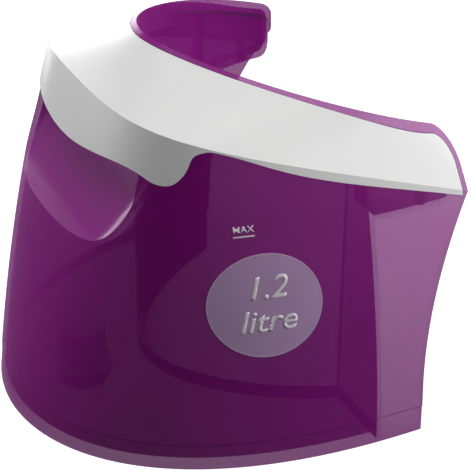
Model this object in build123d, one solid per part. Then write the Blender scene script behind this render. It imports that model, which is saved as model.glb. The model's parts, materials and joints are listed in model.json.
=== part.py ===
from build123d import *
import math
import os

# Removable horseshoe water tank, millimetres. +Z is up and the open end of the horseshoe faces +Y.
# The outlines are drawn with the front apex of the base at y = 0. Every part is then moved so that
# the origin lies on the resting plane, under the middle of the tank.

# ---- overall sizes ----
height = 170.2               # resting plane to the highest point of the rim
rear_y = 183.7               # front apex of the base to the rear ends of the arms
top_slope = 0.34             # fall of the crease and rim planes towards the rear

# ---- plan outlines: control points of half outlines, mirrored in x ----
base_half_width = 107.3      # outer wall at the resting plane, at the rear of the arms
base_shoulder_x = 41.9       # how far the flat of the front reaches sideways
base_flank = (101.7, 35.3)   # point that the flank of the outline is drawn towards
base_arm_overrun = 8.2       # the outline is drawn this far past the foot of the fins

crease_drop = 12.9           # rim apex down to the fold between the outer wall and the sloping cover
crease_apex_y = 44.8
crease_half_width = 89.4
crease_shoulder_x = 62.7
crease_flank = (71.2, 51.4)

rim_apex_y = 76.1            # inner edge of the cover, round the mouth of the horseshoe
rim_half_width = 72.3
rim_shoulder_x = 32.1
rim_flank = (72.2, 131.9)

wall_bulge = 3.7             # outward swell of the outer wall at mid height
mouth_draft = 3.0            # how much wider the mouth is at the bottom than at the rim

# ---- rear ends of the arms ----
rear_corner_r = 10.8         # plan rounding of the inner rear corners
fin_sweep = 25.4             # how far the fins' rear edge lies in front of the rear ends at its foot
fin_straight_z = 22.0        # the fin's rear edge is upright below this and curves back above it
arm_opening = 44.7           # rear ends back to the wall that closes the water space in each arm
tray_drop = 3.7              # crease at the rear ends down to the underside of the ledge trays
tray_inset = 4.0             # the trays stop this far in front of the fins' rear edge
tray_corner_r = 9.0

# ---- walls of the tank ----
wall = 2.2
rim_width = 2.4              # strip of the tank left showing round the cover
lip_overhang = 1.6
lip_height = 6.0
front_lip_height = 12.4
front_lip_end_y = 117.0
floor_z = 5.0                # underside of the floor
floor_thickness = 2.6
parting_z = 13.4             # top of the thicker foot band round the outer wall
parting_step = 0.35

# ---- cover ----
cover_wall = 2.0
cover_gap = 0.3
gasket_thickness = 1.2
# y along the arm and height of the cover's upright edge band below the crease there
band_heights = [(77.0, 0.8), (98.0, 2.7), (135.0, 3.5), (rear_y, 2.2)]
# x and depth below the crease apex of the grip skirt's lower edge, from the middle to its corner
grip_edge = [(0.0, 22.5), (33.3, 19.5), (53.4, 21.5), (60.4, 24.3)]
# y and depth below the crease apex of the grip skirt's side, from its corner up to the band
grip_side = [(55.5, 24.3), (60.8, 22.0), (64.8, 16.5), (67.4, 12.1), (71.4, 10.7)]
boss_x = 79.9
boss_inset = 17.7            # rear ends back to the screw bosses
boss_radius = 2.6
screw_shank_radius = 1.2
screw_engagement = 9.0
screw_tip_room = 1.0
screw_head_radius = 2.6
screw_head_height = 1.8
screw_slot = (0.7, 0.8)      # width and depth of the cross slot
screw_slot_length = 3.4
screw_clearance = 0.2

# ---- hand recess under the grip skirt ----
recess_half_width = 55.3
recess_drop = 56.3           # crease apex down to the recess's lower edge
recess_top_drop = 8.3
recess_corner_r = 17.0
recess_start_y = 24.0        # the bowl's floor begins to rise here
recess_middle = (40.0, 9.0)  # y and rise of the bowl's floor half way in
recess_back_y = 58.0
recess_back_rise = 36.0
recess_side_blend = 9.0      # how much narrower each side of the bowl is at its back
recess_back_corner_r = 8.0
recess_sections = 5

# ---- filling opening on the mouth side of the front ----
filler_half_width = 19.0
filler_height = 23.0
filler_drop = 23.2           # rim apex down to the top of the opening
filler_frame = 4.0
filler_reach = 9.9           # the frame's face stands this far behind the rim apex
flap_thickness = 2.0
flap_gap = 0.5
flap_lip_half_width = 13.8
flap_lip_thickness = 1.6
flap_lip_drop = 2.0
filler_seal_thickness = 1.4
filler_seal_width = 1.8
filler_seal_corner_r = 1.0
hinge_pin_radius = 1.0
hinge_fit = 0.05
hinge_knuckle_radius = 2.4
hinge_knuckle_half = 10.45
hinge_drop = 2.0             # pin axis below the filling frame
hinge_ear_inset = 1.0

# ---- outlet valve in the floor ----
valve_y = 38.0
spigot_radius = 7.0
spigot_low_z = 1.0
spigot_fit = 0.2
nut_radius = 12.0
nut_height = 3.2
nut_notches = 8
nut_notch_radius = 1.8
nut_notch_offset = 0.6       # the notches' centres lie this far outside the nut
valve_gasket_thickness = 1.5
flange_radius = 13.0
flange_height = 2.0
chamber_radius = 5.6
window_width = 4.5
window_sets = 4
window_rim = 1.0
window_top_rim = 2.0
seat_radius = 3.2
seat_z = 9.0                 # top of the valve seat
seat_thickness = 2.0
plunger_radius = 1.5
plunger_low_z = 7.2
plunger_head_radius = 4.6
plunger_head_height = 1.8
plunger_foot_height = 1.3
plunger_foot_clearance = 0.7
plunger_standout = 1.0       # the stem's end above the guide
valve_seal_thickness = 1.2
valve_travel = 4.0
guide_thickness = 2.0
guide_fit = 0.15
guide_holes = 6
guide_hole_radius = 0.8
guide_hole_circle = 3.6
spring_wire_radius = 0.35
spring_radius = 3.0          # middle of the wire
spring_turns = 5
spring_pressed_length = 6.0
strainer_radius = 11.0
strainer_wall = 1.0
strainer_high_z = 32.0
strainer_slots = 12
strainer_slot_width = 1.2
strainer_slot_margin = 3.5

# ---- low-water float in the left arm ----
float_x = -85.0
float_inset = 27.0           # float's axis in front of the end wall
float_radius = 5.5
float_height = 12.0
float_chamfer = 0.8
float_travel = 20.0
float_clearance = 0.4
cage_post_radius = 1.0
cage_posts = 4
cage_plate = 1.6
cage_margin = 0.4            # the end plates reach this far outside the posts
cage_hole_radius = 2.75
magnet_radius = 2.5
magnet_height = 3.0

# ---- markings on the outer wall ----
label_radius = 23.5
label_centre = (88.7, 79.5)  # y and z of the label's middle
label_thickness = 0.15
mark_centre = (82.3, 111.1)
mark_length = 8.4
mark_height = 0.55
mark_thickness = 0.1

# ---- frame of the drawing ----
behind_y = rear_y + 56.0     # the arms are drawn on to here before the rear ends are cut
reach = base_half_width + 53.0   # half width of the cutting prisms
sky = height + 60.0
ground = -10.0
through = 1.0                # cutting tools stand this far out of what they cut

# ---- places that follow from the sizes ----
rim_apex_z = height
crease_apex_z = height - crease_drop
crease_arm_y = rear_y - 0.6
base_rear_y = rear_y - fin_sweep
base_arm_y = base_rear_y + base_arm_overrun
end_wall_y = rear_y - arm_opening
boss_y = rear_y - boss_inset
floor_top = floor_z + floor_thickness
recess_bottom_z = crease_apex_z - recess_drop
recess_top_z = crease_apex_z - recess_top_drop
filler_high_z = rim_apex_z - filler_drop
filler_low_z = filler_high_z - filler_height
filler_middle_z = (filler_low_z + filler_high_z) / 2
filler_face_y = rim_apex_y + filler_reach
float_y = end_wall_y - float_inset


def crease_z(y):
    return crease_apex_z - top_slope * (y - crease_apex_y)


def rim_z(y):
    return rim_apex_z - top_slope * (y - rim_apex_y)


tray_z = crease_z(rear_y) - tray_drop
fin_rise = crease_z(rear_y) - fin_straight_z
fin_radius = (fin_sweep ** 2 + fin_rise ** 2) / (2 * fin_sweep)
fin_centre_y = base_rear_y + fin_radius

# ---- half outlines as the control points of one cubic curve ----
base_line = [(0, 0), (base_shoulder_x, 0), base_flank, (base_half_width, base_arm_y)]
crease_line = [(0, crease_apex_y), (crease_shoulder_x, crease_apex_y), crease_flank]
crease_line.append((crease_half_width, crease_arm_y))
rim_line = [(0, rim_apex_y), (rim_shoulder_x, rim_apex_y), rim_flank]
rim_line.append((rim_half_width, rear_y - rear_corner_r))
middle_line = [((a[0] + b[0]) / 2, (a[1] + b[1]) / 2) for a, b in zip(base_line, crease_line)]


def middle_z(y):
    """Plane half way up the outer wall, which falls towards the rear half as far as the crease does."""
    fall = (crease_z(crease_apex_y) - crease_z(crease_arm_y)) / 2
    length = middle_line[3][1] - middle_line[0][1]
    return crease_apex_z / 2 - fall * (y - middle_line[0][1]) / length


def crossing(p, q, r, s):
    """Point where the line through p and q meets the line through r and s."""
    ux, uy = q[0] - p[0], q[1] - p[1]
    vx, vy = s[0] - r[0], s[1] - r[1]
    share = ((r[0] - p[0]) * vy - (r[1] - p[1]) * vx) / (ux * vy - uy * vx)
    return (p[0] + share * ux, p[1] + share * uy)


def push(points, out):
    """Half outline moved away from the mouth by out, leg by leg of its control polygon."""
    legs = []
    for a, b in zip(points, points[1:]):
        length = math.dist(a, b)
        nx, ny = (b[1] - a[1]) / length, (a[0] - b[0]) / length
        legs.append(((a[0] + nx * out, a[1] + ny * out), (b[0] + nx * out, b[1] + ny * out)))
    second = crossing(*legs[0], *legs[1])
    third = crossing(*legs[1], *legs[2])
    return [legs[0][0], second, third, legs[2][1]]


def section(points, height):
    """Closed wire over a half outline and its mirror image, with straight arms on to behind_y."""
    (bx, by), (cx, cy) = points[2:]
    back_x = cx + (cx - bx) * (behind_y - cy) / (cy - by)
    right = [(x, y, height(y)) for x, y in points]
    left = [(-x, y, z) for x, y, z in reversed(right)]
    back_right = (back_x, behind_y, height(behind_y))
    back_left = (-back_x, behind_y, height(behind_y))
    edges = [Bezier(*right), Line(right[3], back_right), Line(back_right, back_left)]
    edges += [Line(back_left, left[0]), Bezier(*left)]
    return Wire([edge.edge() for edge in edges])


def level(z):
    return lambda y: z


def lowered(height, drop):
    return lambda y: height(y) - drop


def outer_form(inset=0.0, drop=0.0):
    """Solid inside the outer wall, up to the crease plane."""
    low = section(push(base_line, -inset), level(0))
    middle = section(push(middle_line, wall_bulge - inset), lowered(middle_z, drop / 2))
    high = section(push(crease_line, -inset), lowered(crease_z, drop))
    return Solid.make_loft([low, middle, high])


def roof_form(inset=0.0, drop=0.0):
    """Solid under the sloping top, from the crease plane to the rim plane."""
    low = section(push(crease_line, -inset), lowered(crease_z, drop))
    high = section(push(rim_line, -inset), lowered(rim_z, drop))
    return Solid.make_loft([low, high], True)


def full_form(inset=0.0, drop=0.0):
    return outer_form(inset, drop) + roof_form(inset, drop)


def tub(inset):
    """Space inside the outer wall, open upwards."""
    top = Face(section(push(crease_line, -inset), crease_z))
    return outer_form(inset) + extrude(top, sky - crease_apex_z, (0, 0, 1))


def mouth_form(out, draft):
    """Space between the arms, widened by out at the rim and by out + draft at the bottom."""
    low = section(push(rim_line, out + draft), level(ground))
    rim = section(push(rim_line, out), rim_z)
    high = section(push(rim_line, out), lowered(rim_z, rim_apex_z - sky))
    return Solid.make_loft([low, rim, high], True)


def side_prism(face):
    """Face drawn with x = y of the tank and y = z of the tank, run through the whole width."""
    plane = Plane(origin=(-reach, 0, 0), x_dir=(0, 1, 0), z_dir=(1, 0, 0))
    return extrude(plane * face, 2 * reach)


def front_prism(face, low_y, high_y):
    """Face drawn with x = x of the tank and y = z of the tank, run from low_y to high_y."""
    plane = Plane(origin=(0, low_y, 0), x_dir=(1, 0, 0), z_dir=(0, -1, 0))
    return extrude(plane * face, low_y - high_y)


def polygon(*points):
    return make_face(Polyline(*points, close=True))


def slab(low_y, high_y, low_z, high_z):
    """Box through the whole width."""
    box = Box(2 * reach, high_y - low_y, high_z - low_z)
    return Pos(0, (low_y + high_y) / 2, (low_z + high_z) / 2) * box


def arm_corner(out):
    """Space outside the rounded inner rear corners and behind the rear ends, grown by out."""
    centre_x = rim_half_width + rear_corner_r
    centre_y = rear_y - rear_corner_r
    radius = rear_corner_r - out
    start = (centre_x - radius, centre_y)
    stop = (centre_x, centre_y + radius)
    arc = RadiusArc(start, stop, radius)
    rest = Polyline(stop, (centre_x, behind_y), (0, behind_y), (0, centre_y), start)
    face = make_face(arc + rest)
    corner = Pos(0, 0, ground) * extrude(face, sky - ground, (0, 0, 1))
    return corner + mirror(corner, Plane.YZ) + slab(rear_y - out, behind_y + through, ground, sky)


def open_spaces(out, draft):
    """Mouth and space behind the arms, grown into the tank by out."""
    return [mouth_form(out, draft), arm_corner(out)]


def without(shape, tools):
    for tool in tools:
        shape = shape - tool
    return shape


def rear_curve_z(inset):
    """Height where the rear curve, moved forward by inset, reaches the rear face."""
    return fin_straight_z + math.sqrt((fin_radius + inset) ** 2 - (fin_centre_y - rear_y) ** 2)


def rear_profile(inset, low_z, low_y, corner_r=0.0):
    """Side view of everything in front of the rear curve, from low_z and low_y."""
    radius = fin_radius + inset
    foot_z = max(low_z, fin_straight_z)
    top_z = rear_curve_z(inset)
    half_way_z = (foot_z + top_z) / 2
    foot = (fin_centre_y - math.sqrt(radius ** 2 - (foot_z - fin_straight_z) ** 2), foot_z)
    half_way = (fin_centre_y - math.sqrt(radius ** 2 - (half_way_z - fin_straight_z) ** 2), half_way_z)
    curve = ThreePointArc(foot, half_way, (rear_y, top_z))
    rest = [(rear_y, top_z), (rear_y, sky), (low_y, sky), (low_y, low_z), (foot[0], low_z)]
    if foot_z > low_z:
        rest.append(foot)
    face = make_face(curve + Polyline(*rest))
    if corner_r:
        corner = face.vertices().sort_by_distance((foot[0], low_z))[0]
        face = fillet(corner, corner_r)
    return face


def side_zone():
    """Everything above the lower edge of the cover's band, and of the grip skirt's side and corner."""
    side = [(y, crease_apex_z - depth) for y, depth in grip_side]
    band = [(y, crease_z(y) - high) for y, high in band_heights]
    rise = Spline(*side, band[0], tangents=[(1, 0), (1, -top_slope)])
    edge = Spline(*band, tangents=[(1, -top_slope), (1, -top_slope)])
    rest = [edge @ 1, (behind_y, (edge @ 1).Y), (behind_y, sky), (ground, sky), (ground, side[0][1]), side[0]]
    return side_prism(make_face(rise + edge + Polyline(*rest)))


def skirt_zone():
    """Everything above the lower edge of the grip skirt, and everything beside the skirt."""
    points = [(x, crease_apex_z - depth) for x, depth in grip_edge]
    edge = Spline(*points, tangents=[(1, 0), (1, 0)])
    corner_x = points[-1][0]
    rest = Polyline(edge @ 1, (corner_x, ground), (reach, ground), (reach, sky), (0, sky), edge @ 0)
    half = front_prism(make_face(edge + rest), ground, behind_y)
    return half + mirror(half, Plane.YZ)


def cover_zone(drop=0.0):
    """Everything above the lower edge of the cover, moved down and back by drop."""
    return Pos(0, drop, -drop) * (side_zone() & skirt_zone())


def bowl_section(y, low, half, radius, high):
    """Outline of the recess at one depth, square at the top and rounded at the bottom."""
    face = Pos(0, (low + high) / 2) * Rectangle(2 * half, high - low)
    face = fillet(face.vertices().group_by(Axis.Y)[0], radius)
    return Plane(origin=(0, y, 0), x_dir=(1, 0, 0), z_dir=(0, -1, 0)) * face


def recess(grow=0.0):
    """Hand recess: a bowl in the front wall that runs up behind the grip skirt, grown by grow."""
    low, back = recess_bottom_z - grow, recess_back_y + grow
    middle_y, middle_rise = recess_middle
    start = (recess_start_y + grow / 2, low)
    middle = (middle_y + grow, low + middle_rise)
    floor = Spline(start, middle, (back, low + recess_back_rise), tangents=[(1, 0), (0, 1)])
    sections = []
    for step in range(recess_sections):
        share = step / (recess_sections - 1)
        place = floor @ share
        half = recess_half_width + grow - recess_side_blend * share ** 2
        radius = recess_corner_r + grow - (recess_corner_r - recess_back_corner_r) * share
        sections.append(bowl_section(place.X, place.Y, half, radius, recess_top_z + grow))
    bowl = Solid.make_loft([section.wire() for section in sections])
    return bowl + extrude(sections[0], start[0] - ground)


def filler_frame_block():
    width = 2 * (filler_half_width + filler_frame)
    high = filler_height + 2 * filler_frame
    depth = filler_reach + wall
    return Pos(0, filler_face_y - depth / 2, filler_middle_z) * Box(width, depth, high)


def filler_hole():
    depth = filler_face_y - recess_back_y
    hole = Box(2 * filler_half_width, depth, filler_height)
    return Pos(0, filler_face_y - depth / 2 + through, filler_middle_z) * hole


def inside_outer_wall():
    """Space inside the outer wall, which steps inward behind the cover's band and grip skirt."""
    upper = tub(cover_wall + cover_gap + wall)
    lower = tub(wall) - cover_zone(wall)
    return upper + lower


def water_space():
    """Inside of the tank between the outer wall, the mouth wall and the end walls."""
    space = inside_outer_wall() & slab(ground, end_wall_y - wall, floor_top, sky)
    return space - mouth_form(lip_overhang + wall, mouth_draft)


def tray_space():
    """Dry tray behind the end walls."""
    profile = rear_profile(tray_inset + wall, tray_z + wall, end_wall_y, tray_corner_r - wall)
    return without(inside_outer_wall() & side_prism(profile), open_spaces(lip_overhang + wall, mouth_draft))


def below_lip():
    deep, shallow = front_lip_height, lip_height
    step = front_lip_end_y
    points = [(ground, ground), (behind_y, ground), (behind_y, rim_z(behind_y) - shallow)]
    points += [(step, rim_z(step) - shallow), (step, rim_z(step) - deep), (ground, rim_z(ground) - deep)]
    return side_prism(polygon(*points))


def set_back_zone():
    """Where the walls stand back under the lip."""
    return below_lip() & full_form(0.0, lip_height) & inside_outer_wall()


def floor_zone():
    """Layer between the outer wall, the inner wall and the end walls that the floor fills."""
    layer = inside_outer_wall() & slab(ground, end_wall_y - wall, floor_z, floor_top)
    return layer - mouth_form(lip_overhang + wall, mouth_draft)


def inner_wall_zone():
    """Where the wall round the mouth stands, from the resting plane up to the lip."""
    zone = set_back_zone() & slab(ground, end_wall_y - wall, ground, sky)
    return zone & mouth_form(lip_overhang + wall, mouth_draft)


def make_tank_form():
    """All walls of the tank in one piece, without the floor."""
    form = full_form() & side_prism(rear_profile(0.0, ground, ground))
    form -= slab(ground, behind_y, ground, parting_z) - outer_form(parting_step)
    form = without(form, open_spaces(0.0, 0.0))
    # the cover's seat, beside the strip that stays showing
    seat = cover_zone() - full_form(cover_wall + cover_gap, cover_wall + gasket_thickness)
    form -= without(seat, open_spaces(rim_width, 0.0))
    # walls set back under the lip, and the open space under the ledge trays
    inner = inside_outer_wall()
    set_back = set_back_zone()
    form = without(form, [space & set_back for space in open_spaces(lip_overhang, mouth_draft)])
    tray = side_prism(rear_profile(tray_inset, tray_z, end_wall_y, tray_corner_r))
    form -= (slab(end_wall_y, behind_y, ground, sky) - tray) & inner
    # hollows
    form -= water_space() - recess(wall)
    form -= tray_space()
    under = inner & slab(ground, end_wall_y - wall, ground, floor_top)
    form -= under - mouth_form(lip_overhang + wall, mouth_draft)
    form -= recess()
    for side in (-1, 1):
        form -= Pos(side * boss_x, boss_y, tray_z) * Cylinder(screw_shank_radius + screw_clearance, 4 * wall)
    return form


def make_floor():
    hole = Pos(0, valve_y, floor_z) * Cylinder(spigot_radius + spigot_fit, 4 * floor_thickness)
    return floor_zone() - hole


def make_inner_wall(form):
    """Wall round the mouth, with the filling frame, the ears of the hinge and the seal's groove."""
    inner_wall = (form & inner_wall_zone()) + filler_frame_block() - filler_hole()
    for ear in make_hinge_ears():
        inner_wall += ear
    inner_wall -= x_cylinder(hinge_pin_radius, -reach, reach, pin_y, pin_z)
    return inner_wall - make_filler_seal()


def make_cover():
    """Sloping top with the edge band, the grip skirt and two bosses for the screws."""
    plate = full_form() - full_form(cover_wall, cover_wall)
    plate = plate & cover_zone() & side_prism(rear_profile(0.0, ground, ground))
    plate = without(plate, open_spaces(rim_width + cover_gap, 0.0))
    low = tray_z + wall + cover_gap
    for side in (-1, 1):
        boss = Pos(side * boss_x, boss_y, (low + sky) / 2) * Cylinder(boss_radius, sky - low)
        plate += boss & full_form(cover_wall / 2, cover_wall / 2)
        hole = screw_engagement + cover_gap
        plate -= Pos(side * boss_x, boss_y, low + hole / 2) * Cylinder(screw_shank_radius, hole)
    return plate


def make_gasket():
    """Flat rubber on top of the tank's walls, under the cover."""
    inset = cover_wall + cover_gap
    layer = full_form(inset, cover_wall) - full_form(inset, cover_wall + gasket_thickness)
    layer = layer & slab(ground, end_wall_y, ground, sky) & cover_zone()
    return layer - water_space() - mouth_form(rim_width + cover_gap, 0.0)


def make_screws():
    """Two screws from below the trays, with cross slots in their heads."""
    low = tray_z - screw_head_height
    length = screw_head_height + wall + cover_gap + screw_engagement - screw_tip_room
    screws = []
    for side in (-1, 1):
        shank = Pos(0, 0, low + length / 2) * Cylinder(screw_shank_radius, length)
        head = Pos(0, 0, low + screw_head_height / 2) * Cylinder(screw_head_radius, screw_head_height)
        screw = shank + head
        width, depth = screw_slot
        for angle in (0, 90):
            slot = Box(screw_slot_length, width, 2 * depth)
            screw -= Pos(0, 0, low) * Rot(0, 0, angle) * slot
        screws.append(Pos(side * boss_x, boss_y, 0) * screw)
    return Compound(children=screws)


# ---- filler flap ----
flap_low_z = filler_low_z - filler_frame
flap_high_z = filler_high_z + filler_frame
flap_rear_y = filler_face_y + flap_gap
pin_y = flap_rear_y + flap_thickness / 2
pin_z = flap_low_z - hinge_drop
pin_half = filler_half_width + filler_frame - hinge_ear_inset


def x_cylinder(radius, low_x, high_x, y, z):
    cylinder = Cylinder(radius, high_x - low_x, rotation=(0, 90, 0))
    return Pos((low_x + high_x) / 2, y, z) * cylinder


def make_flap():
    """Plate over the filling frame, with one knuckle round the hinge pin and a finger lip on top."""
    high = flap_high_z - pin_z
    width = 2 * (filler_half_width + filler_frame)
    plate = Pos(0, pin_y, pin_z + high / 2) * Box(width, flap_thickness, high)
    plate = fillet(plate.edges().filter_by(Axis.Y).group_by(Axis.Z)[-1], filler_frame)
    room = 2 * (hinge_knuckle_radius + flap_gap)
    plate -= Pos(0, pin_y, pin_z) * Box(width + through, 2 * flap_thickness, room)
    neck = Box(2 * hinge_knuckle_half, flap_thickness, 2 * hinge_knuckle_radius)
    neck = Pos(0, pin_y, pin_z + hinge_knuckle_radius) * neck
    knuckle = x_cylinder(hinge_knuckle_radius, -hinge_knuckle_half, hinge_knuckle_half, pin_y, pin_z)
    lip = Box(2 * flap_lip_half_width, 2 * flap_thickness, flap_lip_thickness)
    lip = Pos(0, pin_y + flap_thickness, flap_high_z - flap_lip_drop) * lip
    flap = plate + neck + knuckle + lip
    return flap - x_cylinder(hinge_pin_radius + hinge_fit, -width, width, pin_y, pin_z)


def make_hinge_ears():
    """Two ears on the filling frame that hold the hinge pin."""
    inner_x = hinge_knuckle_half + flap_gap
    high = flap_low_z + through - pin_z + hinge_knuckle_radius
    arm_z = pin_z - hinge_knuckle_radius + high / 2
    ears = []
    for side in (-1, 1):
        low_x, high_x = sorted((side * inner_x, side * pin_half))
        barrel = x_cylinder(hinge_knuckle_radius, low_x, high_x, pin_y, pin_z)
        arm = Box(pin_half - inner_x, filler_frame, high)
        arm = Pos((low_x + high_x) / 2, filler_face_y - filler_frame / 2, arm_z) * arm
        ears.append(barrel + arm)
    return ears


def make_hinge_pin():
    return x_cylinder(hinge_pin_radius, -pin_half, pin_half, pin_y, pin_z)


def make_filler_seal():
    """Rubber ring in a groove of the filling frame, with its face against the flap."""
    half_x = filler_half_width + filler_frame / 2
    half_z = (filler_height + filler_frame) / 2
    outer = Rectangle(2 * half_x + filler_seal_width, 2 * half_z + filler_seal_width)
    inner = Rectangle(2 * half_x - filler_seal_width, 2 * half_z - filler_seal_width)
    outer = fillet(outer.vertices(), filler_seal_corner_r + filler_seal_width)
    inner = fillet(inner.vertices(), filler_seal_corner_r)
    loop = Rot(90, 0, 0) * extrude(outer - inner, filler_seal_thickness)
    return Pos(0, flap_rear_y, filler_middle_z) * loop


# ---- outlet valve ----
gasket_top = floor_top + valve_gasket_thickness
flange_top = gasket_top + flange_height
head_low_z = seat_z + valve_seal_thickness
head_high_z = head_low_z + plunger_head_height
chamber_high_z = head_high_z + valve_travel + spring_pressed_length + guide_thickness
plunger_high_z = chamber_high_z + plunger_standout


def ring(outer, inner, low, high):
    tube = Cylinder(outer, high - low) - Cylinder(inner, high - low + through)
    return Pos(0, 0, (low + high) / 2) * tube


def disc(radius, low, high):
    return Pos(0, 0, (low + high) / 2) * Cylinder(radius, high - low)


def at_valve(shape):
    return Pos(0, valve_y, 0) * shape


def make_valve_housing():
    """Spigot through the floor, with a flange, a valve seat and windows round the chamber."""
    body = disc(spigot_radius, spigot_low_z, chamber_high_z) + disc(flange_radius, gasket_top, flange_top)
    body -= disc(chamber_radius, seat_z, chamber_high_z + through)
    body -= disc(seat_radius, spigot_low_z - through, seat_z + through)
    body -= disc(chamber_radius, spigot_low_z - through, seat_z - seat_thickness)
    window_low = flange_top + window_rim
    window_high = chamber_high_z - guide_thickness - window_top_rim
    window = Box(4 * spigot_radius, window_width, window_high - window_low)
    window = Pos(0, 0, (window_low + window_high) / 2) * window
    for turn in range(window_sets):
        body -= Rot(0, 0, 180 / window_sets * turn) * window
    return at_valve(body)


def make_valve_gasket():
    return at_valve(ring(flange_radius, spigot_radius, floor_top, gasket_top))


def make_valve_nut():
    """Nut under the floor, with finger ribs."""
    nut = ring(nut_radius, spigot_radius, floor_z - nut_height, floor_z)
    notch = Cylinder(nut_notch_radius, nut_height + through)
    notch = Pos(nut_radius + nut_notch_offset, 0, floor_z - nut_height / 2) * notch
    for turn in range(nut_notches):
        nut -= Rot(0, 0, 360 / nut_notches * turn) * notch
    return at_valve(nut)


def make_plunger():
    stem = disc(plunger_radius, plunger_low_z, plunger_high_z)
    foot = disc(seat_radius - plunger_foot_clearance, plunger_low_z, plunger_low_z + plunger_foot_height)
    return at_valve(stem + foot + disc(plunger_head_radius, head_low_z, head_high_z))


def make_valve_seal():
    return at_valve(ring(plunger_head_radius, plunger_radius, seat_z, head_low_z))


def make_guide():
    """Cap pressed into the top of the chamber, with flow holes round the stem's hole."""
    low = chamber_high_z - guide_thickness
    cap = ring(chamber_radius, plunger_radius + guide_fit, low, chamber_high_z)
    hole = Pos(guide_hole_circle, 0, chamber_high_z) * Cylinder(guide_hole_radius, 4 * guide_thickness)
    for turn in range(guide_holes):
        cap -= Rot(0, 0, 360 / guide_holes * turn) * hole
    return at_valve(cap)


def make_spring():
    low = head_high_z + spring_wire_radius
    high = chamber_high_z - guide_thickness - spring_wire_radius
    path = Pos(0, 0, low) * Helix((high - low) / spring_turns, high - low, spring_radius)
    profile = Plane(origin=path @ 0, z_dir=path % 0) * Circle(spring_wire_radius)
    return at_valve(sweep(profile, path))


def make_strainer():
    """Slotted cap that stands on the valve flange."""
    low, high = flange_top, strainer_high_z
    sleeve = disc(strainer_radius, low, high)
    sleeve -= disc(strainer_radius - strainer_wall, low - through, high - strainer_wall)
    slot = Box(4 * strainer_wall, strainer_slot_width, high - low - 2 * strainer_slot_margin)
    slot = Pos(strainer_radius, 0, (low + high) / 2) * slot
    for turn in range(strainer_slots):
        sleeve -= Rot(0, 0, 360 / strainer_slots * turn) * slot
    return at_valve(sleeve)


# ---- float ----
post_circle = float_radius + float_clearance + cage_post_radius
cage_radius = post_circle + cage_post_radius + cage_margin
float_low_z = floor_top + cage_plate + float_clearance
cage_high_z = float_low_z + float_height + float_travel + float_clearance + cage_plate


def at_float(shape):
    return Pos(float_x, float_y, 0) * shape


def make_cage():
    """Two end plates and the posts that the float slides between."""
    cage = disc(cage_radius, floor_top, floor_top + cage_plate)
    cage += ring(cage_radius, cage_hole_radius, cage_high_z - cage_plate, cage_high_z)
    post = Cylinder(cage_post_radius, cage_high_z - floor_top)
    post = Pos(post_circle, 0, (floor_top + cage_high_z) / 2) * post
    for turn in range(cage_posts):
        cage += Rot(0, 0, 360 / cage_posts * turn) * post
    return at_float(cage)


def make_float():
    shape = disc(float_radius, float_low_z, float_low_z + float_height)
    shape = chamfer(shape.edges().filter_by(GeomType.CIRCLE), float_chamfer)
    return at_float(shape - disc(magnet_radius, float_low_z - through, float_low_z + magnet_height))


def make_magnet():
    return at_float(disc(magnet_radius, float_low_z, float_low_z + magnet_height))


# ---- markings ----
def wall_skin(thickness):
    return outer_form(-thickness) - outer_form()


def make_label():
    return wall_skin(label_thickness) & x_cylinder(label_radius, 0, reach, *label_centre)


def make_level_mark():
    stroke = Box(reach, mark_length, mark_height)
    return wall_skin(mark_thickness) & (Pos(reach / 2, *mark_centre) * stroke)


def centred(shape):
    return Pos(0, -(parting_step + rear_y) / 2, 0) * shape


def write(name, shape):
    export_step(centred(shape), f"parts/{name}.step")


def main():
    os.makedirs("parts", exist_ok=True)
    form = make_tank_form()
    write("tank_body", form - inner_wall_zone())
    write("inner_wall", make_inner_wall(form))
    write("tank_floor", make_floor())
    write("top_cover", make_cover())
    write("cover_gasket", make_gasket())
    write("cover_screws", make_screws())
    write("filler_flap", make_flap())
    write("filler_hinge_pin", make_hinge_pin())
    write("filler_seal", make_filler_seal())
    write("valve_housing", make_valve_housing())
    write("valve_gasket", make_valve_gasket())
    write("valve_nut", make_valve_nut())
    write("valve_plunger", make_plunger())
    write("valve_seal", make_valve_seal())
    write("valve_spring", make_spring())
    write("valve_guide", make_guide())
    write("water_strainer", make_strainer())
    write("float_cage", make_cage())
    write("level_float", make_float())
    write("float_magnet", make_magnet())
    write("capacity_label", make_label())
    write("level_mark", make_level_mark())


main()
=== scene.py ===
import bmesh
import bpy
import json
import math
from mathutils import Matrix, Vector
from mathutils.bvhtree import BVHTree


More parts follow.
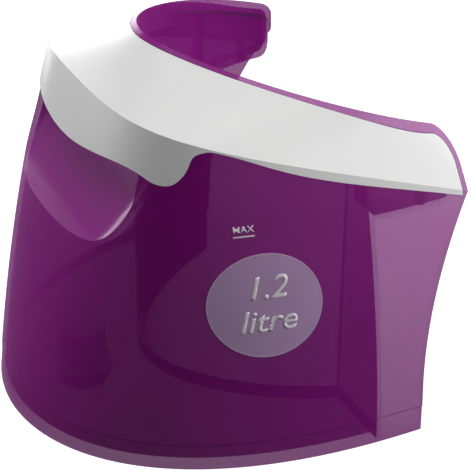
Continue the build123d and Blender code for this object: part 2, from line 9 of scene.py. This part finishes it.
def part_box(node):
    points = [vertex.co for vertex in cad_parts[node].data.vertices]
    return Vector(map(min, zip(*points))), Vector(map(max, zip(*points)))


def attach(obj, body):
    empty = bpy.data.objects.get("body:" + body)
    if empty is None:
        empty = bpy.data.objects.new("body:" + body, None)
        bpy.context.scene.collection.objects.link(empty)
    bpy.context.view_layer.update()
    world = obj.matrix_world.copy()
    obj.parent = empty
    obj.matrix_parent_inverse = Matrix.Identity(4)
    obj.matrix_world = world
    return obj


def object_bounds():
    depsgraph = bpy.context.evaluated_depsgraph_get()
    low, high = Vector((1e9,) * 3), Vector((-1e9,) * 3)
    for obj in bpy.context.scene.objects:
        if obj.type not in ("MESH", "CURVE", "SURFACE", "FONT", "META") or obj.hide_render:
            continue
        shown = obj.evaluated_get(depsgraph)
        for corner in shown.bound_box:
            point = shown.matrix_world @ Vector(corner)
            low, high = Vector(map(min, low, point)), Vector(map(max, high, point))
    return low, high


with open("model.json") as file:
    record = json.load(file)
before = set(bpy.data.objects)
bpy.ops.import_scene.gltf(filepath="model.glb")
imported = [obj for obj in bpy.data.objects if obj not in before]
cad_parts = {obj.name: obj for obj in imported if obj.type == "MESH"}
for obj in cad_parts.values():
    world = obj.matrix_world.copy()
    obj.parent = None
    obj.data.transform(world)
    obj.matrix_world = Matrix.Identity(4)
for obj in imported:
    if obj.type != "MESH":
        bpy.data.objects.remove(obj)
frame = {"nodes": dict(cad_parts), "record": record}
cad_low, cad_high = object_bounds()
nodes = frame["nodes"]

# Metres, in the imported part's frame: +Z up, the open end of the horseshoe towards +Y, the labelled arm at +X.
MM = 0.001

LAMP_DISTANCE = 1.0          # every soft box stands this far from the lamps' target
LAMP_TARGET = Vector((0, 0, 0.09))
STUDIO_FILL = 0.05           # strength of the studio walls for light and reflections
STUDIO_WHITE = 1.0           # and as the camera sees them

INK_SKIN = 0.06 * MM         # thickness of the printed ink
INK_LIFT = 0.2               # share of the ink's thickness between the wall and its underside
INK_EDGE = 1.6 * MM          # longest edge of the ink's mesh, so that it follows the curved wall
CAPITAL_SHARE = 0.69         # height of a capital letter as a share of the font's size


# ---------------------------------------------------------------- camera, stage, light
def look_at(thing, target):
    direction = Vector(target) - thing.location
    thing.rotation_euler = direction.to_track_quat("-Z", "Y").to_euler()


def make_camera():
    data = bpy.data.cameras.new("camera")
    data.sensor_width = 36.0
    data.lens = 93.9
    data.clip_start = 0.01
    camera = bpy.data.objects.new("camera", data)
    bpy.context.scene.collection.objects.link(camera)
    camera.location = (0.4348, -0.2047, 0.3799)
    look_at(camera, (0.01078, 0.02173, 0.0637))
    bpy.context.scene.camera = camera


def make_floor():
    """Plain white floor that shows to the camera without lighting the object from below."""
    half = 4.0
    below = cad_low.z - 0.2 * MM
    mesh = bpy.data.meshes.new("floor")
    corners = [(-half, -half, below), (half, -half, below), (half, half, below), (-half, half, below)]
    mesh.from_pydata(corners, [], [(0, 1, 2, 3)])
    floor = bpy.data.objects.new("floor", mesh)
    bpy.context.scene.collection.objects.link(floor)
    floor.visible_diffuse = False
    floor.visible_glossy = False
    material = bpy.data.materials.new("floor_white")
    material.use_nodes = True
    shader = material.node_tree.nodes["Principled BSDF"]
    shader.inputs["Base Color"].default_value = (0.5, 0.5, 0.5, 1)
    shader.inputs["Roughness"].default_value = 0.9
    shader.inputs["Specular IOR Level"].default_value = 0.0
    shader.inputs["Emission Color"].default_value = (1, 1, 1, 1)
    shader.inputs["Emission Strength"].default_value = 0.86
    mesh.materials.append(material)


def soft_box(name, azimuth, elevation, width, height, power):
    """Rectangular lamp at an azimuth (0 in front of the object, 90 at +X) and elevation, both in degrees."""
    a, e = math.radians(azimuth), math.radians(elevation)
    data = bpy.data.lights.new(name, "AREA")
    data.shape = "RECTANGLE"
    data.size, data.size_y = width, height
    data.energy = power
    lamp = bpy.data.objects.new(name, data)
    bpy.context.scene.collection.objects.link(lamp)
    towards = Vector((math.sin(a) * math.cos(e), -math.cos(a) * math.cos(e), math.sin(e)))
    lamp.location = LAMP_TARGET + towards * LAMP_DISTANCE
    look_at(lamp, LAMP_TARGET)


def make_light():
    """Side, front and top boxes in a dark studio whose walls look white to the camera."""
    world = bpy.data.worlds.new("studio")
    bpy.context.scene.world = world
    bpy.context.scene.view_settings.view_transform = "Standard"
    world.use_nodes = True
    tree = world.node_tree
    background = tree.nodes["Background"]
    background.inputs["Color"].default_value = (1, 1, 1, 1)
    rays = tree.nodes.new("ShaderNodeLightPath")
    strength = tree.nodes.new("ShaderNodeMapRange")
    strength.inputs["To Min"].default_value = STUDIO_FILL
    strength.inputs["To Max"].default_value = STUDIO_WHITE
    tree.links.new(rays.outputs["Is Camera Ray"], strength.inputs["Value"])
    tree.links.new(strength.outputs["Result"], background.inputs["Strength"])
    soft_box("left_box", -98, 8, 1.0, 0.8, 12.0)
    soft_box("front_box", -30, 16, 0.5, 0.4, 3.6)
    soft_box("right_box", 143, 16, 0.8, 0.9, 9.0)
    soft_box("top_box", 30, 84, 0.9, 0.9, 6.2)


# ---------------------------------------------------------------- materials
class Graph:
    """Small helper round a material's node tree."""

    def __init__(self, name):
        self.material = bpy.data.materials.new(name)
        self.material.use_nodes = True
        self.tree = self.material.node_tree
        self.shader = self.tree.nodes["Principled BSDF"]
        self.output = self.tree.nodes["Material Output"]

    def add(self, kind, **sockets):
        node = self.tree.nodes.new(kind)
        for key, value in sockets.items():
            node.inputs[key.replace("_", " ")].default_value = value
        return node

    def link(self, source, target):
        self.tree.links.new(source, target)

    def set(self, **values):
        for key, value in values.items():
            self.shader.inputs[key.replace("_", " ")].default_value = value

    def noise(self, scale, detail=4.0):
        """Noise over the object's own coordinates; scale is in cells per metre."""
        place = self.add("ShaderNodeTexCoord")
        noise = self.add("ShaderNodeTexNoise", Scale=scale, Detail=detail, Roughness=0.55)
        self.link(place.outputs["Object"], noise.inputs["Vector"])
        return noise.outputs["Fac"]

    def ramp(self, source, stops):
        """Colour ramp over source; stops are (position, colour)."""
        ramp = self.add("ShaderNodeValToRGB")
        self.link(source, ramp.inputs["Fac"])
        elements = ramp.color_ramp.elements
        while len(elements) < len(stops):
            elements.new(0.5)
        for element, (position, colour) in zip(elements, stops):
            element.position = position
            element.color = (*colour, 1)
        return ramp.outputs["Color"]

    def spread(self, source, low, high):
        """Maps 0..1 to low..high."""
        node = self.add("ShaderNodeMapRange")
        node.inputs["To Min"].default_value = low
        node.inputs["To Max"].default_value = high
        self.link(source, node.inputs["Value"])
        return node.outputs["Result"]

    def bump(self, source, strength, distance):
        node = self.add("ShaderNodeBump", Strength=strength, Distance=distance)
        self.link(source, node.inputs["Height"])
        self.link(node.outputs["Normal"], self.shader.inputs["Normal"])


def moulded(name, dark, light, roughness, grain=900.0, grain_depth=0.02 * MM, coat=0.0):
    """Opaque moulded plastic: slight flow mottling in colour, and a fine grain in gloss and surface."""
    g = Graph(name)
    flow = g.noise(18.0, 3.0)
    g.link(g.ramp(flow, [(0.3, dark), (0.7, light)]), g.shader.inputs["Base Color"])
    grain_noise = g.noise(grain, 2.0)
    g.link(g.spread(grain_noise, roughness - 0.05, roughness + 0.06), g.shader.inputs["Roughness"])
    g.bump(grain_noise, 0.25, grain_depth)
    g.set(Coat_Weight=coat, Coat_Roughness=0.15)
    return g.material


def see_through(name, body, tint, opacity):
    """Tinted see-through plastic wall: part of the light passes with the tint, the rest is scattered back."""
    g = Graph(name)
    flow = g.noise(14.0, 3.0)
    shade = [c * 0.88 for c in body]
    g.link(g.ramp(flow, [(0.3, shade), (0.7, body)]), g.shader.inputs["Base Color"])
    grain = g.noise(1200.0, 2.0)
    g.link(g.spread(grain, 0.25, 0.33), g.shader.inputs["Roughness"])
    g.bump(grain, 0.08, 0.004 * MM)
    g.set(IOR=1.5, Specular_IOR_Level=0.4)
    g.set(Sheen_Weight=0.25, Sheen_Roughness=0.4, Sheen_Tint=(1, 0.5, 1, 1))
    clear = g.add("ShaderNodeBsdfTransparent", Color=(*tint, 1))
    rim = g.add("ShaderNodeLayerWeight", Blend=0.35)
    mix = g.add("ShaderNodeMixShader")
    g.link(g.spread(rim.outputs["Facing"], opacity, min(1.0, opacity + 0.3)), mix.inputs["Fac"])
    g.link(clear.outputs["BSDF"], mix.inputs[1])
    g.link(g.shader.outputs["BSDF"], mix.inputs[2])
    g.link(mix.outputs["Shader"], g.output.inputs["Surface"])
    return g.material


def metal(name, colour, roughness):
    """Bare metal with a slightly uneven tone and gloss."""
    g = Graph(name)
    brushed = g.noise(600.0, 3.0)
    g.link(g.spread(brushed, roughness - 0.08, roughness + 0.1), g.shader.inputs["Roughness"])
    tone = g.noise(60.0)
    g.link(g.ramp(tone, [(0.3, [c * 0.85 for c in colour]), (0.7, colour)]), g.shader.inputs["Base Color"])
    g.set(Metallic=1.0)
    return g.material


def make_plastics():
    purple, tint, opacity = (0.31, 0.003, 0.27), (1.0, 0.82, 1.0), 0.6
    return {
        "purple_tank": see_through("purple_tank", purple, tint, opacity),
        "purple_flap": see_through("purple_flap", purple, tint, opacity),
        "white_cover": moulded("white_cover", (0.76, 0.765, 0.76), (0.80, 0.80, 0.795), 0.38, coat=0.1),
        "white_fitting": moulded("white_fitting", (0.66, 0.66, 0.63), (0.74, 0.74, 0.71), 0.5),
    }


def make_rubbers():
    grain, depth = 500.0, 0.04 * MM
    return {
        "grey_rubber": moulded("grey_rubber", (0.24, 0.24, 0.245), (0.31, 0.31, 0.315), 0.7, grain, depth),
        "black_rubber": moulded(
            "black_rubber", (0.015, 0.015, 0.016), (0.03, 0.03, 0.032), 0.65, grain, depth),
        "float_foam": moulded("float_foam", (0.70, 0.68, 0.60), (0.80, 0.78, 0.70), 0.8, 350.0, 0.1 * MM),
    }


def make_films():
    grain, depth = 1500.0, 0.005 * MM
    return {
        "label_film": moulded("label_film", (0.46, 0.29, 0.51), (0.52, 0.34, 0.57), 0.5, grain, depth),
        "pale_print": moulded("pale_print", (0.80, 0.74, 0.80), (0.90, 0.84, 0.90), 0.5, grain, depth),
        "label_edge": moulded("label_edge", (0.56, 0.42, 0.60), (0.62, 0.47, 0.66), 0.4, grain, depth),
    }


def make_metals():
    return {
        "steel": metal("steel", (0.60, 0.60, 0.62), 0.28),
        "magnet": metal("magnet", (0.10, 0.10, 0.11), 0.5),
    }


def make_materials():
    return {**make_plastics(), **make_rubbers(), **make_films(), **make_metals()}


def dress(materials):
    """Gives each CAD node the detailed material of its slot."""
    for entry in frame["record"]["subparts"]:
        thing = nodes[entry["node"]]
        thing.data.materials.clear()
        thing.data.materials.append(materials[entry["material_slot"]])


# ---------------------------------------------------------------- print on the outer wall
def surface_of(*names):
    """Search tree over the meshes of CAD nodes."""
    corners, faces = [], []
    for name in names:
        mesh = nodes[name].data
        first = len(corners)
        corners += [v.co.copy() for v in mesh.vertices]
        faces += [[first + i for i in face.vertices] for face in mesh.polygons]
    return BVHTree.FromPolygons(corners, faces)


def refine(bm, longest, rounds=6):
    """Halves the edges longer than longest, in up to so many rounds."""
    bmesh.ops.triangulate(bm, faces=bm.faces)
    for _ in range(rounds):
        long_edges = [e for e in bm.edges if e.calc_length() > longest]
        if not long_edges:
            return
        bmesh.ops.subdivide_edges(bm, edges=long_edges, cuts=1)
        bmesh.ops.triangulate(bm, faces=bm.faces)


def printed(name, flat, material, surface):
    """Lays a flat drawing, its x and y being the tank's y and z, on the wall at +X as a skin of ink."""
    bm = bmesh.new()
    bm.from_mesh(flat)
    bmesh.ops.remove_doubles(bm, verts=bm.verts, dist=0.01 * MM)
    refine(bm, INK_EDGE)
    outside = cad_high.x + 50.0 * MM
    for v in bm.verts:
        hit, normal, _, _ = surface.ray_cast(Vector((outside, v.co.x, v.co.y)), Vector((-1, 0, 0)))
        v.co = hit + normal * INK_LIFT * INK_SKIN
    skin = bmesh.ops.extrude_face_region(bm, geom=bm.faces[:], use_keep_orig=True)
    for v in skin["geom"]:
        if isinstance(v, bmesh.types.BMVert):
            v.co += surface.find_nearest(v.co)[1] * INK_SKIN
    bmesh.ops.recalc_face_normals(bm, faces=bm.faces)
    mesh = bpy.data.meshes.new(name)
    bm.to_mesh(mesh)
    bm.free()
    mesh.materials.append(material)
    piece = bpy.data.objects.new(name, mesh)
    bpy.context.scene.collection.objects.link(piece)
    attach(piece, "tank")


def lettering(text, centre, high, lean=0.0):
    """Flat mesh of slightly bold plain lettering, with a given capital height, in the tank's y-z plane."""
    curve = bpy.data.curves.new("lettering", "FONT")
    curve.body = text
    curve.align_x = "CENTER"
    curve.align_y = "CENTER"
    curve.shear = lean
    curve.offset = 0.012 * high
    curve.size = high / CAPITAL_SHARE
    thing = bpy.data.objects.new("lettering", curve)
    bpy.context.scene.collection.objects.link(thing)
    mesh = bpy.data.meshes.new_from_object(thing)
    bpy.data.objects.remove(thing)
    for v in mesh.vertices:
        v.co = Vector((v.co.x + centre[0], v.co.y + centre[1], 0))
    return mesh


def ring(centre, inner, outer, steps=96):
    """Flat ring in the y-z plane of the tank."""
    corners, faces = [], []
    for step in range(steps):
        angle = 2 * math.pi * step / steps
        for radius in (inner, outer):
            corners.append((centre[0] + radius * math.cos(angle), centre[1] + radius * math.sin(angle), 0))
        after = (step + 1) % steps
        faces.append((2 * step, 2 * step + 1, 2 * after + 1, 2 * after))
    mesh = bpy.data.meshes.new("ring")
    mesh.from_pydata(corners, [], faces)
    return mesh


def make_label_prints(materials, surface):
    """Capacity in two lines on the label, inside a ring of a lighter film along its edge."""
    low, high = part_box("capacity_label")
    y, z = (low.y + high.y) / 2, (low.z + high.z) / 2
    radius = (high.z - low.z) / 2
    capital = 0.42 * radius
    number_up, unit_down = 0.34 * radius, 0.30 * radius
    lean = 0.25
    ink = materials["pale_print"]
    printed("label_number", lettering("1.2", (y, z + number_up), capital, lean), ink, surface)
    printed("label_unit", lettering("litre", (y, z - unit_down), capital, lean), ink, surface)
    edge = ring((y, z), radius - 0.5 * MM, radius - 0.1 * MM)
    printed("label_edge", edge, materials["label_edge"], surface)


def make_level_word(materials, surface):
    """The word above the fill line."""
    low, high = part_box("level_mark")
    above = ((low.y + high.y) / 2, high.z + 2.6 * MM)
    printed("level_word", lettering("MAX", above, 2.7 * MM), materials["pale_print"], surface)


make_camera()
make_floor()
make_light()
materials = make_materials()
dress(materials)
label_wall = surface_of("tank_body", "capacity_label")
make_label_prints(materials, label_wall)
make_level_word(materials, label_wall)
